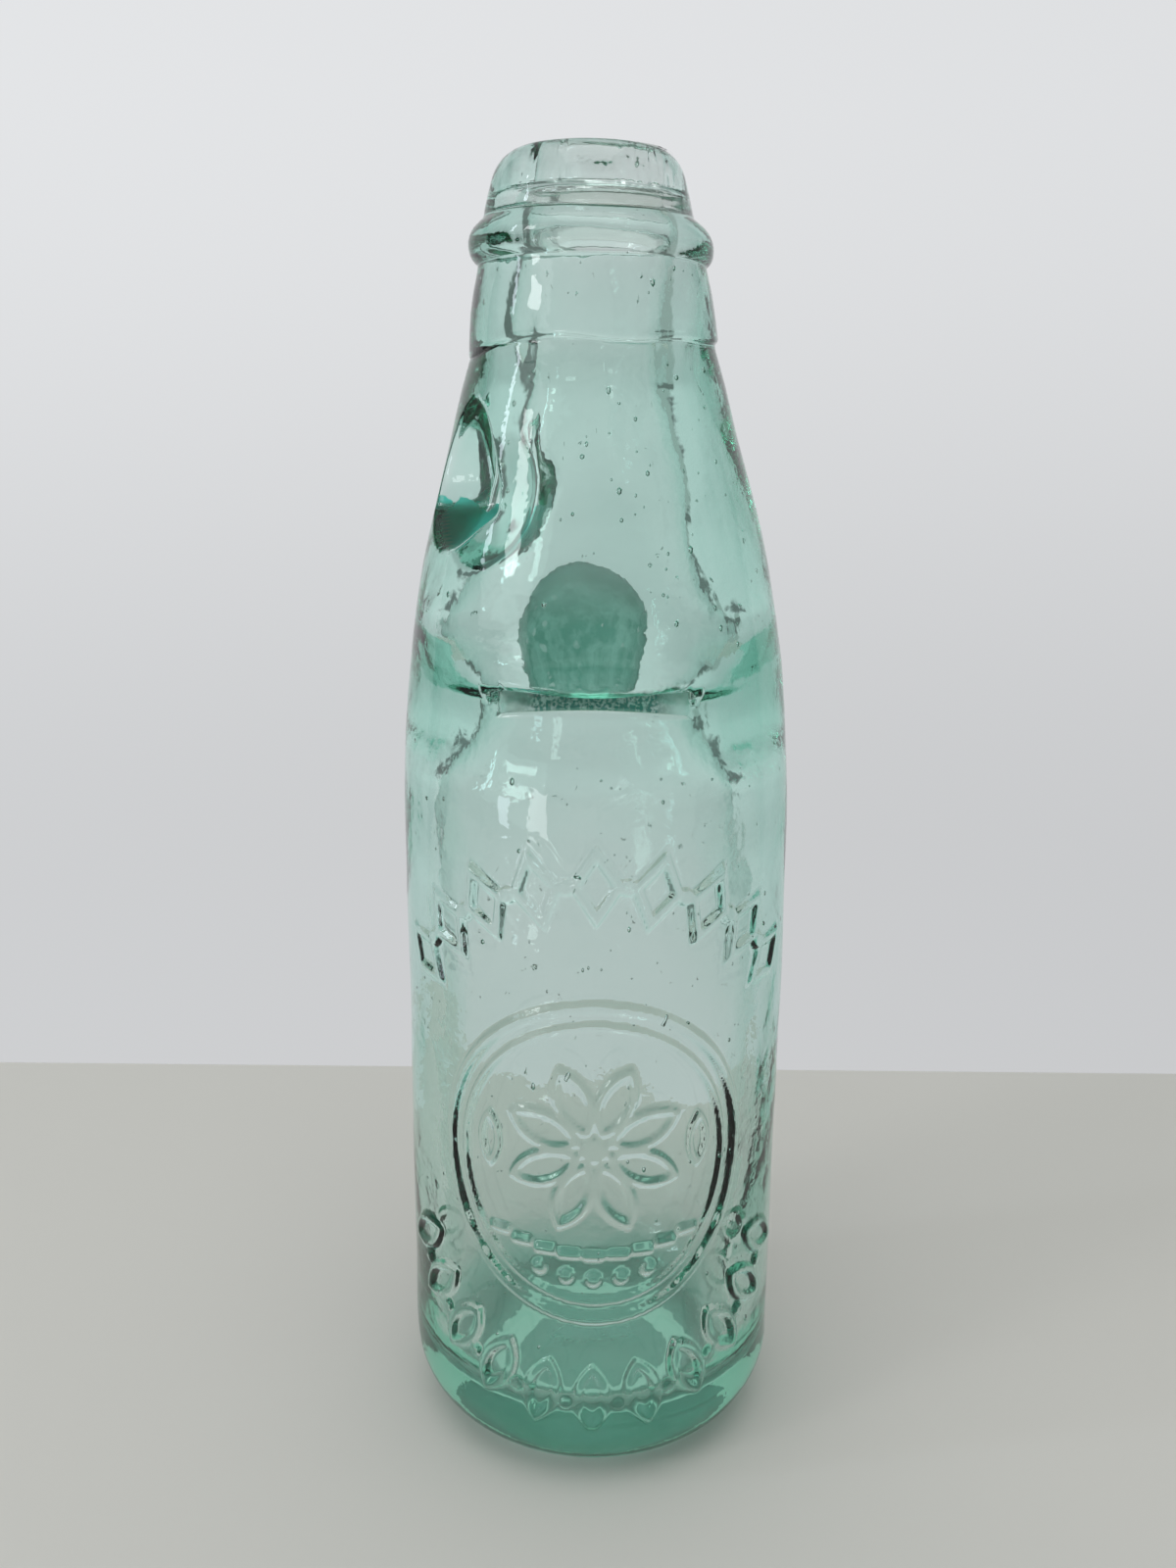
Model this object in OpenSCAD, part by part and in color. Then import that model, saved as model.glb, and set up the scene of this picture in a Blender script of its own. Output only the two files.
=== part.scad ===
// Marble stopper bottle for sparkling water: a thick moulded glass body with a
// pinched throat and a marble chamber in its shoulder, a lip of separate glass
// worked onto the neck, a sealing ring in the lip's groove, and a loose marble.
// Units: millimetres. +Z is up, the origin is at the centre of the resting
// face, the front is -Y, and the two catch dimples are on the -X side.

/* [Body] */
// Outside diameter of the body
body_d = 65; // [63:0.5:68]
// Height from the resting face to the top of the lip
total_h = 214; // [212:0.5:216]
// Thickness of the wall of the lower body
wall_t = 5.2; // [4:0.1:6]
// Thickness of the base at its centre, above the resting face
base_t = 9; // [7:0.5:11]
// Outer radius where the wall turns into the base
heel_r = 13; // [10:0.5:14]
// Depth of the hollow under the base
push_up = 2; // [1:0.1:3]
// Outside diameter of the shoulder where the lip glass starts
shoulder_top_d = 38; // [37:0.1:38.4]

/* [Chamber] */
// Largest inside diameter of the marble chamber
chamber_d = 44.6; // [43:0.2:46]
// Inside diameter of the waist between chamber and body, side to side
waist_d = 38.4; // [37:0.2:40]
// Inside diameter of the neck
neck_bore_d = 22.8; // [22.4:0.1:23.2]

/* [Pinch] */
// Height of the middle of each ledge's nose
pinch_z = 130.9; // [130.6:0.1:131.2]
// Front to back gap of the throat between the two pinched ledges
throat_gap = 8; // [7.6:0.1:8.4]
// Radius of each ledge's rounded nose
nose_r = 1.8; // [1.7:0.1:2]
// Length of each ledge, side to side
ledge_len = 31; // [29:0.5:32]
// How far the underside of each ledge slopes down from its nose, in degrees
ledge_slope = 2; // [1:1:5]
// Front to back width of the chamber between its two flattened cheeks
cheek_gap = 39.2; // [38.4:0.2:40]
// Height of the middle of the outside slit that each pinch leaves
slit_z = 134.2; // [133.8:0.1:134.6]
// Height of that slit
slit_h = 2.4; // [2:0.1:3]
// Front to back distance between the bottoms of the two slits
slit_gap = 55; // [54.4:0.2:56]

/* [Catch dimples] */
// Height of the middle of the dimples
dimple_z = 164.5; // [164:0.5:165.5]
// Angle of each dimple from the -X side, towards the front and the back
dimple_angle = 31; // [30:1:34]
// Distance of each dimple's centre from the bottle's axis
dimple_off = 27.7; // [27.4:0.1:28.4]
// Radius of the dimple pressed into the outside
dimple_r = 11; // [10:0.5:11.5]
// Thickness of the glass between dimple and chamber
dimple_t = 4.5; // [4:0.1:4.6]

/* [Lip] */
// Height of the lower edge of the lip glass
lip_z = 186; // [185.5:0.1:186.5]
// Outside diameter of the band below the collar, at its lower edge
band_d = 38.7; // [38.6:0.1:39.4]
// Largest outside diameter of the collar
collar_d = 37.8; // [37:0.1:38.4]
// Inside diameter of the mouth
mouth_d = 21.8; // [21:0.1:22]
// Inside diameter of the ring groove
groove_d = 25.2; // [25:0.1:25.8]
// Height of the ring groove
groove_h = 4.4; // [4.2:0.1:4.6]
// Height of the groove's lower side, which is the end of the neck
groove_z = 202.9; // [202.7:0.1:203.1]
// Outside diameter of the neck inside the lip glass
neck_d = 30; // [29:0.2:31]

/* [Marble] */
// Diameter of the marble
marble_d = 19.6; // [19:0.1:19.7]
// Gap between the marble and what it rests against
marble_gap = 0.3; // [0.25:0.01:0.4]
// How far the marble lies to the -X side of the axis, on the ledges
marble_x = 2.6; // [0:0.1:2.8]

/* [Ring] */
// Inside diameter of the sealing ring
ring_id = 16.6; // [16:0.1:17]
// Radius of the ring's rounded edges
ring_edge_r = 1.6; // [1.2:0.1:1.8]
// Gap between the ring and the groove
ring_gap = 0.1; // [0.05:0.01:0.15]

/* [Hidden] */
$fn = 96;

body_r = body_d / 2;
inner_r = body_r - wall_t;
neck_r = neck_bore_d / 2;
nose_y = throat_gap / 2 + nose_r;

// A smooth curve through points [height, radius]: four steps per span.
function hermite(p0, p1, p2, p3, t) =
    let (m1 = (p2[1] - p0[1]) / (p2[0] - p0[0]),
         m2 = (p3[1] - p1[1]) / (p3[0] - p1[0]),
         h = p2[0] - p1[0])
    (2 * t * t * t - 3 * t * t + 1) * p1[1] + (t * t * t - 2 * t * t + t) * h * m1
    + (-2 * t * t * t + 3 * t * t) * p2[1] + (t * t * t - t * t) * h * m2;
function smooth(k, n = 4) = [
    for (i = [1 : len(k) - 3], j = [0 : n - 1])
        let (z = k[i][0] + (k[i + 1][0] - k[i][0]) * j / n)
        [hermite(k[i - 1], k[i], k[i + 1], k[i + 2], j / n), z]
];
// A quarter round in the [radius, height] plane.
function arc(cx, cz, r, a0, a1, n) = [
    for (i = [0 : n]) let (a = a0 + (a1 - a0) * i / n)
        [cx + r * cos(a), cz + r * sin(a)]
];

// Outside of the shoulder: the share of the way from the neck's radius out to
// the body's radius, at each height.
shoulder_keys = [
    [88, 1], [100, 1], [112, 0.992], [122, 0.965], [132, 0.905], [142, 0.815],
    [150, 0.72], [158, 0.575], [166, 0.41], [174, 0.25], [181, 0.1],
    [186, 0.005], [191, -0.09]
];
shoulder_r = shoulder_top_d / 2;
outer_keys = [for (k = shoulder_keys)
    [k[0], shoulder_r + k[1] * (body_r - shoulder_r)]];

// Inside of the bottle from the lower body up to the neck.
cavity_keys = [
    [16, inner_r], [26, inner_r], [60, inner_r], [88, inner_r - 0.2],
    [103, inner_r - 1.1], [116, inner_r - 1.8],
    [122, inner_r - 3.8], [127, waist_d / 2 + 1.0], [131, waist_d / 2],
    [135, waist_d / 2 + 0.7], [139, chamber_d / 2 - 0.5],
    [142, chamber_d / 2], [146, chamber_d / 2 - 0.9], [152, 18.9],
    [160, 16.4], [168, 14.1], [175, 12.1], [180, neck_r - 0.1],
    [186, neck_r], [196, neck_r]
];

module outside() {
    rotate_extrude()
        polygon(concat(
            // the hollow under the base, then the resting face
            [for (i = [0 : 6]) let (r = 14 * i / 6)
                [r, push_up * (1 - (r / 14) * (r / 14))]],
            arc(body_r - heel_r, heel_r, heel_r, -90, 0, 8),
            smooth(outer_keys),
            [[shoulder_r, lip_z], [neck_d / 2, lip_z],
             [neck_d / 2, groove_z], [0, groove_z]]
        ));
}

module cavity() {
    rotate_extrude()
        polygon(concat(
            [[0, base_t]],
            arc(inner_r - 10, base_t + 10, 10, -90, 0, 7),
            smooth(cavity_keys),
            [[neck_r, 186], [neck_r, total_h], [0, total_h]]
        ));
}

// Each pinch leaves a ledge across the throat: a rounded nose, and a shelf of
// glass from the nose out to the wall.
// side = -1 is the front, 1 the back
module nose(side) {
    translate([-ledge_len / 2, side * nose_y, pinch_z])
        rotate([0, 90, 0]) cylinder(r = nose_r, h = ledge_len);
}

module shelf(side) {
    root = 0.97 * nose_r;
    reach = 26;
    s = side;
    translate([-ledge_len / 2, s * nose_y, pinch_z])
        rotate([90, 0, 90])
            linear_extrude(ledge_len)
                polygon([
                    [0, root],
                    [s * reach, root + reach * tan(1)],
                    [s * reach, -root - reach * tan(ledge_slope)],
                    [0, -root]
                ]);
}

// The chamber is flattened above each ledge by the tool that pinched it.
module cheek(side) {
    translate([-30, side < 0 ? -cheek_gap / 2 - 12 : cheek_gap / 2, pinch_z])
        cube([60, 12, 21]);
}

// The slit that stays open outside where the glass was pinched in.
module slit(side) {
    translate([-30, side * (slit_gap / 2 + slit_h / 2), slit_z]) {
        rotate([0, 90, 0]) cylinder(r = slit_h / 2, h = 60);
        translate([0, side < 0 ? -20 : 0, -slit_h / 2])
            cube([60, 20, slit_h]);
    }
}

module at_dimples() {
    for (a = [180 - dimple_angle, 180 + dimple_angle])
        rotate([0, 0, a]) translate([dimple_off, 0, dimple_z]) children();
}

module bottle_body() {
    color([0.66, 0.80, 0.76, 0.6])
        difference() {
            outside();
            difference() {
                cavity();
                nose(-1);
                nose(1);
                shelf(-1);
                shelf(1);
                cheek(-1);
                cheek(1);
                at_dimples() sphere(r = dimple_r + dimple_t);
            }
            slit(-1);
            slit(1);
            at_dimples() sphere(r = dimple_r);
        }
}

module lip_finish() {
    top_r = total_h - 212.3;
    color([0.72, 0.83, 0.80, 0.6])
        rotate_extrude()
            polygon(concat(
                [[neck_d / 2, lip_z], [band_d / 2 - 0.35, lip_z],
                 [band_d / 2, lip_z + 0.9], [band_d / 2 - 0.15, 190.5],
                 [band_d / 2 - 0.7, 194], [band_d / 2 - 1.4, 197.2]],
                arc(collar_d / 2 - 2.9, 200.2, 2.9, -80, 80, 10),
                [[collar_d / 2 - 2.9, 203.4], [15.75, 204.4], [15.4, 207.4],
                 [14.9, 209.9]],
                arc(12.5, 211.0, 2.1, 0, 60, 4),
                arc(mouth_d / 2 + 1.7, 212.3, top_r, 80, 180, 7),
                [[mouth_d / 2, groove_z + groove_h],
                 [groove_d / 2, groove_z + groove_h],
                 [groove_d / 2, groove_z], [neck_d / 2, groove_z]]
            ));
}

module sealing_ring() {
    x0 = ring_id / 2;
    x1 = groove_d / 2 - ring_gap;
    z0 = groove_z + ring_gap;
    z1 = groove_z + groove_h - ring_gap;
    e = ring_edge_r;
    color([0.80, 0.84, 0.78])
        rotate_extrude()
            polygon(concat(
                arc(x0 + e, z0 + e, e, 180, 270, 6),
                arc(x1 - 0.6, z0 + 0.6, 0.6, 270, 360, 3),
                arc(x1 - 0.6, z1 - 0.6, 0.6, 0, 90, 3),
                arc(x0 + e, z1 - e, e, 90, 180, 6)
            ));
}

// Height of the marble's centre when it rests on the two noses.
marble_reach = marble_d / 2 + nose_r + marble_gap;
marble_z = pinch_z + sqrt(marble_reach * marble_reach - nose_y * nose_y);

module marble() {
    color([0.35, 0.60, 0.52])
        translate([-marble_x, 0, marble_z]) sphere(d = marble_d);
}

bottle_body();
lip_finish();
sealing_ring();
marble();
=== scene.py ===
import math

import bmesh
import bpy
import numpy as np
from mathutils import Matrix, Vector


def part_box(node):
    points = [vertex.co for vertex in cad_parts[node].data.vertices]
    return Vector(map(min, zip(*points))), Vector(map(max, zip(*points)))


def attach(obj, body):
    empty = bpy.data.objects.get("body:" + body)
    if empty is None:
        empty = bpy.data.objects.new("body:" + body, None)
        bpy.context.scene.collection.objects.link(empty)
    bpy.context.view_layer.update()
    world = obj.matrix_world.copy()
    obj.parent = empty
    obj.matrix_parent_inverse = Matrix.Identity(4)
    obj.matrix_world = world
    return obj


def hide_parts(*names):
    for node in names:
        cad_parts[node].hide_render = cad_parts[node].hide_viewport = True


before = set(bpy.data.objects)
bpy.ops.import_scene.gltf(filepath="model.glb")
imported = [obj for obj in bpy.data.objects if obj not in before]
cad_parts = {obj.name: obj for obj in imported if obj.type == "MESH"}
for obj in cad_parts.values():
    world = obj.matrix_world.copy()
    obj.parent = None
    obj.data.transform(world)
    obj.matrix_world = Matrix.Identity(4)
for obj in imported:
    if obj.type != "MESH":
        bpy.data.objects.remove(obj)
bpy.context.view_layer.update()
scene = bpy.context.scene

MM = 0.001

# ------------------------------------------------------------------ helpers


def smoothstep(a, b, x):
    t = np.clip((np.asarray(x, float) - a) / (b - a), 0.0, 1.0)
    return t * t * (3 - 2 * t)


def mix(a, b, t):
    return a + (b - a) * t


def spline(keys, z):
    """Cubic through [height, value] keys that never overshoots them."""
    k = np.asarray(keys, float)
    x, y = k[:, 0], k[:, 1]
    z = np.clip(np.asarray(z, float), x[0], x[-1])
    d = np.diff(y) / np.diff(x)
    m = np.empty_like(y)
    m[0], m[-1] = d[0], d[-1]
    for i in range(1, len(y) - 1):
        m[i] = 0.0 if d[i - 1] * d[i] <= 0 else 2 * d[i - 1] * d[i] / (d[i - 1] + d[i])
    i = np.clip(np.searchsorted(x, z, side="right") - 1, 0, len(x) - 2)
    h = x[i + 1] - x[i]
    t = (z - x[i]) / h
    return (
        (2 * t**3 - 3 * t**2 + 1) * y[i]
        + (t**3 - 2 * t**2 + t) * h * m[i]
        + (-2 * t**3 + 3 * t**2) * y[i + 1]
        + (t**3 - t**2) * h * m[i + 1]
    )


def smin(a, b, k):
    h = np.clip(0.5 + 0.5 * (b - a) / k, 0, 1)
    return b * (1 - h) + a * h - k * h * (1 - h)


class Waves:
    """Seeded sum of smooth waves over angle and height, that closes round the bottle."""

    def __init__(self, seed, n, wavelength, rad=25.0, spread=0.5, tall=1.0):
        r = np.random.default_rng(seed)
        self.terms = []
        for _ in range(n):
            wl = wavelength * (1 + spread * (r.random() * 2 - 1))
            th = r.random() * 2 * math.pi
            ka = round(2 * math.pi * rad / wl * math.cos(th))
            kz = 2 * math.pi / wl * math.sin(th) / tall
            self.terms.append((ka, kz, r.random() * 2 * math.pi, 0.6 + 0.8 * r.random()))
        self.norm = math.sqrt(sum(t[3] ** 2 for t in self.terms) / 2)

    def __call__(self, a, z):
        out = 0.0
        for ka, kz, ph, w in self.terms:
            out = out + w * np.sin(ka * a + kz * z + ph)
        return out / self.norm


def make_mesh(name, verts, faces, smooth=True):
    me = bpy.data.meshes.new(name)
    verts = np.asarray(verts, float)
    me.vertices.add(len(verts))
    me.vertices.foreach_set("co", (verts * MM).astype(np.float32).ravel())
    loops = np.fromiter((i for f in faces for i in f), dtype=np.int32)
    sizes = np.fromiter((len(f) for f in faces), dtype=np.int32)
    me.loops.add(len(loops))
    me.loops.foreach_set("vertex_index", loops)
    me.polygons.add(len(sizes))
    me.polygons.foreach_set("loop_start", np.concatenate([[0], np.cumsum(sizes)[:-1]]).astype(np.int32))
    me.update(calc_edges=True)
    me.validate()
    if smooth:
        me.polygons.foreach_set("use_smooth", np.ones(len(me.polygons), dtype=bool))
    ob = bpy.data.objects.new(name, me)
    scene.collection.objects.link(ob)
    return ob


# ------------------------------------------------------------------ bottle glass
# Angle a: 0 is the front (-Y), positive towards +X. A point is (r sin a, -r cos a, z), in mm.

FRONT = np.radians(np.arange(-97.8, 97.81, 0.6))
BACK = np.radians(np.arange(98.8, 261.3, 1.0))
ANG = np.concatenate([FRONT, BACK])
ANG = np.where(ANG > math.pi, ANG - 2 * math.pi, ANG)
NA = len(ANG)
SIDE = np.where(np.cos(ANG) >= 0, -1.0, 1.0)  # which half in Y a column is in

# outside: radius and sideways lean of the hand-finished neck, by height
OUT_R = [
    [0, 32.5], [90, 32.5], [104, 32.48], [112, 32.36], [118, 32.18], [124, 31.88], [130, 31.45],
    [136, 30.85], [142, 30.05], [148, 29.05], [152, 28.25], [156, 27.3], [160, 26.25], [164, 25.15],
    [168, 24.05], [172, 22.95], [176, 21.9], [179, 21.05], [182, 20.1], [184, 19.45], [185.6, 19.02], [186.6, 18.9],
]
OUT_LEAN = [[0, 0.12], [40, 0.1], [60, 0.0], [100, -0.05], [120, -0.28], [148, -0.6], [164, -0.72], [174, -0.9],
            [184, -1.12], [187, -1.36], [196, -1.6], [202, -2.05], [206, -2.35], [214, -2.4]]

# inside, by height: side to side, and front to back where the tool flattened it
IN_SIDE = [
    [18, 27.1], [26, 27.3], [60, 27.4], [84, 27.0], [98, 25.9], [107, 25.1], [113, 25.0], [117, 24.7], [120, 23.9],
    [122.5, 22.7], [125.5, 20.9], [128.5, 19.8], [131, 19.5], [133.8, 19.7], [136, 20.4], [138.3, 21.25], [141, 22.1], [143.3, 21.9],
    [147, 20.5], [151, 19.2], [155, 17.85], [158, 16.9], [163, 15.5], [168, 14.05], [172, 12.9], [175.5, 11.95],
    [179, 11.2], [183, 11.25], [188, 11.45], [202.6, 11.45],
]
IN_FRONT = [
    [18, 27.1], [26, 27.3], [60, 27.4], [84, 27.0], [98, 26.2], [107, 25.3], [113, 24.8], [118, 24.0], [124, 22.6], [129.4, 22.45], [132.0, 22.4],
    [133.4, 24.3], [133.9, 24.6], [136, 22.9], [138, 21.3], [140, 20.4], [143, 19.8], [147, 19.55], [149, 19.3],
    [153, 18.4], [158, 16.9], [163, 15.5], [168, 14.05], [172, 12.9],
    [175.5, 11.95], [179, 11.2], [183, 11.25], [188, 11.45], [202.6, 11.45],
]
IN_LEAN = [[9, 0.0], [60, 0.0], [100, -0.3], [118, -0.9], [128, -1.15], [175, -1.15], [190, -1.1], [199, -0.9], [214, -0.45]]

NOSE_Z, NOSE_RAD, NOSE_TIP = 131.8, 0.85, 4.1
TOP_FILLET = (0.9, 0.9)  # in from the wall, and up
BOTTOM_FILLET = (0.5, 0.35)
LEDGE_RISE = 1.3  # how much higher a ledge starts at the wall than at its nose
LEDGE_FADE = (9.0, 14.5)  # each ledge dies away between these distances from the middle
SLOT_Z, SLOT_PLANE, SLOT_TURN = 134.1, 27.5, math.radians(-0.9)

# catch dimples: how far round each reaches from its middle, in degrees, and how deep it is, by height
DIMPLES = (-57.2, -122.8)
DENT_W = [[150, 0.3], [154.4, 0.5], [155.6, 6.8], [158, 15.0], [161.4, 23.2], [164, 22.6], [168, 19.4], [172, 14.6],
          [175.5, 8.6], [178.4, 0.5], [184, 0.3]]
DENT_H = [[150, 0], [154.4, 0], [155.6, 2.1], [158, 5.8], [161.4, 9.0], [164, 8.6], [168, 7.0], [172, 5.0], [175.5, 2.7],
          [178.4, 0], [184, 0]]

wob_out = Waves(3, 14, 44.0)
wob_out2 = Waves(4, 18, 16.0)
wob_in = Waves(5, 16, 34.0, 22.0)
wob_in2 = Waves(6, 24, 12.0, 22.0)
wob_in3 = Waves(8, 40, 3.6, 20.0, 0.6)


def dent(a, ang, c, rad2):
    """Distance from the axis at which a ray at angle a meets a round tool, growing past its edge."""
    d = (a - math.radians(ang) + math.pi) % (2 * math.pi) - math.pi
    q = rad2 - (c * np.sin(d)) ** 2
    return np.where(np.cos(d) > 0.3, c * np.cos(d) - np.sign(q) * np.sqrt(np.abs(q)), 1e3)


# ------------------------------------------------------------------ raised ornament on the front
# u runs round the front in mm, v is the height. Every motif gives a distance to its centre line.


def seg(u, v, u0, v0, u1, v1):
    du, dv = u1 - u0, v1 - v0
    t = np.clip(((u - u0) * du + (v - v0) * dv) / (du * du + dv * dv), 0, 1)
    return np.hypot(u - u0 - t * du, v - v0 - t * dv)


def ellipse_line(u, v, cu, cv, ru, rv, rot=0.0):
    c, s = math.cos(rot), math.sin(rot)
    x, y = (u - cu) * c + (v - cv) * s, -(u - cu) * s + (v - cv) * c
    k = np.hypot(x / ru, y / rv)
    g = np.hypot(x / ru**2, y / rv**2)
    return np.abs(k * (k - 1) / np.maximum(g, 1e-6))


def leaf(u, v, cu, cv, half, width, rot):
    """Outline of a pointed leaf, as a distance: negative inside."""
    c, s = math.cos(rot), math.sin(rot)
    x, y = (u - cu) * c + (v - cv) * s, -(u - cu) * s + (v - cv) * c
    x, y = np.abs(x), np.abs(y)
    b = (half * half - width * width) / (2 * width)  # offset of each arc's centre
    return np.hypot(x + b, y) - (b + width)


def stroke(d, w, soft=0.34):
    return 1 - smoothstep(w / 2 - soft * 0.5, w / 2 + soft, d)


def ornament(u, v):
    h = np.zeros(np.broadcast(u, v).shape)

    def put(x):
        nonlocal h
        h = np.maximum(h, x)

    # upper arch: open lozenges with beads between them
    cv, rad = 67.0, 40.0
    for k in range(-4, 5):
        t = math.radians(13.4 * k)
        cu, cw = rad * math.sin(t), cv + rad * math.cos(t)
        hw, hh = 3.3, 5.1
        c, s = math.cos(-t), math.sin(-t)
        x = np.abs((u - cu) * c + (v - cw) * s)
        y = np.abs(-(u - cu) * s + (v - cw) * c)
        d = (x * hh + y * hw - hw * hh) / math.hypot(hw, hh)
        side = float(smoothstep(1.5, 4.0, abs(k)))
        put((1.35 - 0.65 * side) * stroke(np.abs(d), 1.3 - 0.25 * side, 0.50 + 0.25 * side))
        if k < 4:
            t2 = math.radians(13.4 * (k + 0.5))
            d = np.hypot(u - rad * math.sin(t2), v - cv - rad * math.cos(t2)) - 0.75
            put(1.2 * stroke(np.maximum(d, 0), 1.0, 0.3))
    # oval frame: a strong line and a fine one inside it
    put(stroke(ellipse_line(u, v, 0, 60.5, 25.5, 27.0), 1.5))
    put(0.8 * stroke(ellipse_line(u, v, 0, 60.5, 22.3, 23.8), 0.8, 0.35))
    # rosette
    for k in range(8):
        t = math.radians(45 * k + 22.5)
        d = leaf(u, v, 8.6 * math.sin(t), 63.5 + 8.6 * math.cos(t), 5.6, 2.5, -t)
        put(stroke(np.abs(d), 1.1, 0.36))
    put(stroke(np.maximum(np.hypot(u, v - 63.5) - 1.7, 0), 1.0))
    # a rope of beads and a run of short bars under the rosette
    for k in range(-4, 5):
        cu = 3.9 * k
        put(stroke(seg(u, v, cu - 1.2, 44.9 + 0.012 * cu * cu, cu + 1.2, 44.9 + 0.012 * cu * cu), 1.2))
    for k in range(-2, 3):
        cu = 4.4 * k
        d = np.hypot(u - cu, v - 40.7 - 0.02 * cu * cu) - 0.55
        put(stroke(np.maximum(d, 0), 0.9))
    for s in (-1, 1):
        d = leaf(u, v, s * 17.3, 63.5, 4.2, 1.5, 0.0)
        put(0.9 * stroke(np.abs(d), 0.95, 0.34))
    # lower arc: a fan of leaves with beads between them
    cv, rad = 58.0, 39.3
    for k in range(-5, 6):
        t = math.radians(12.2 * k)
        cu, cw = rad * math.sin(t), cv - rad * math.cos(t)
        d = leaf(u, v, cu, cw, 5.4, 2.3, t)
        put(stroke(np.abs(d), 1.3, 0.4))
        if k < 5:
            t2 = math.radians(12.2 * (k + 0.5))
            d = np.hypot(u - (rad + 1.5) * math.sin(t2), v - cv + (rad + 1.5) * math.cos(t2)) - 0.5
            put(stroke(np.maximum(d, 0), 0.9))
    return h


worn = Waves(11, 20, 26.0, 32.5)


def outer_radius(a, z, relief=True):
    a, z = np.broadcast_arrays(np.asarray(a, float), np.asarray(z, float))
    r = spline(OUT_R, z)
    on = smoothstep(4, 16, z)
    r = r + on * (0.10 * wob_out(a, z) + 0.016 * wob_out2(a, z))
    if relief:
        front = np.abs(a) < math.radians(76)
        if np.any(front & (z > 9) & (z < 118)):
            h = ornament(32.5 * a, z) * front
            r = r + 0.74 * h * (0.86 + 0.14 * worn(a, z))
    wide, deep = np.radians(spline(DENT_W, z)), spline(DENT_H, z)
    for ang in DIMPLES:
        d = (a - math.radians(ang) + math.pi) % (2 * math.pi) - math.pi
        share = np.minimum(np.abs(d) / wide, 3.0)
        s = r - deep * (1 - share**2.3) + 6 * smoothstep(0.6, 0.0, deep)
        r = np.where((z > 154.4) & (z < 178.4), smin(r, np.minimum(s, r + 6), 0.9 * smoothstep(0, 3, deep) + 1e-3), r)
    return r


def inner_radius(a, z):
    a, z = np.broadcast_arrays(np.asarray(a, float), np.asarray(z, float))
    rs, rf = spline(IN_SIDE, z), spline(IN_FRONT, z)
    r = 1 / np.sqrt((np.cos(a) / rf) ** 2 + (np.sin(a) / rs) ** 2)
    amp = smoothstep(205, 186, z) * smoothstep(6, 30, z)
    r = r + amp * (0.20 * wob_in(a, z) + 0.035 * wob_in2(a, z))
    side = np.sin(a) ** 2
    r = r + 0.009 * wob_in3(a, z) * side * smoothstep(96, 108, z) * smoothstep(178, 160, z)
    for ang in DIMPLES:
        s = dent(a, ang, 27.7, 15.3**2 - (z - 164.5) ** 2)
        near = np.abs(z - 164.5) < 15.3
        r = np.where(near, smin(r, np.minimum(s, r + 6), 2.2), r)
    return r


def shelf_rows():
    """Contour of a ledge, from the wall above it round the nose to the wall below."""
    steps = [("fillet_top", math.radians(t)) for t in np.linspace(0, 90, 14)]
    steps += [("top", t) for t in np.linspace(0, 1, 9)[1:-1]]
    steps += [("nose", math.radians(t)) for t in np.linspace(90, -90, 16)]
    steps += [("bottom", t) for t in np.linspace(0, 1, 9)[1:-1]]
    steps += [("fillet_bottom", math.radians(t)) for t in np.linspace(90, 0, 9)]
    return steps


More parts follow.
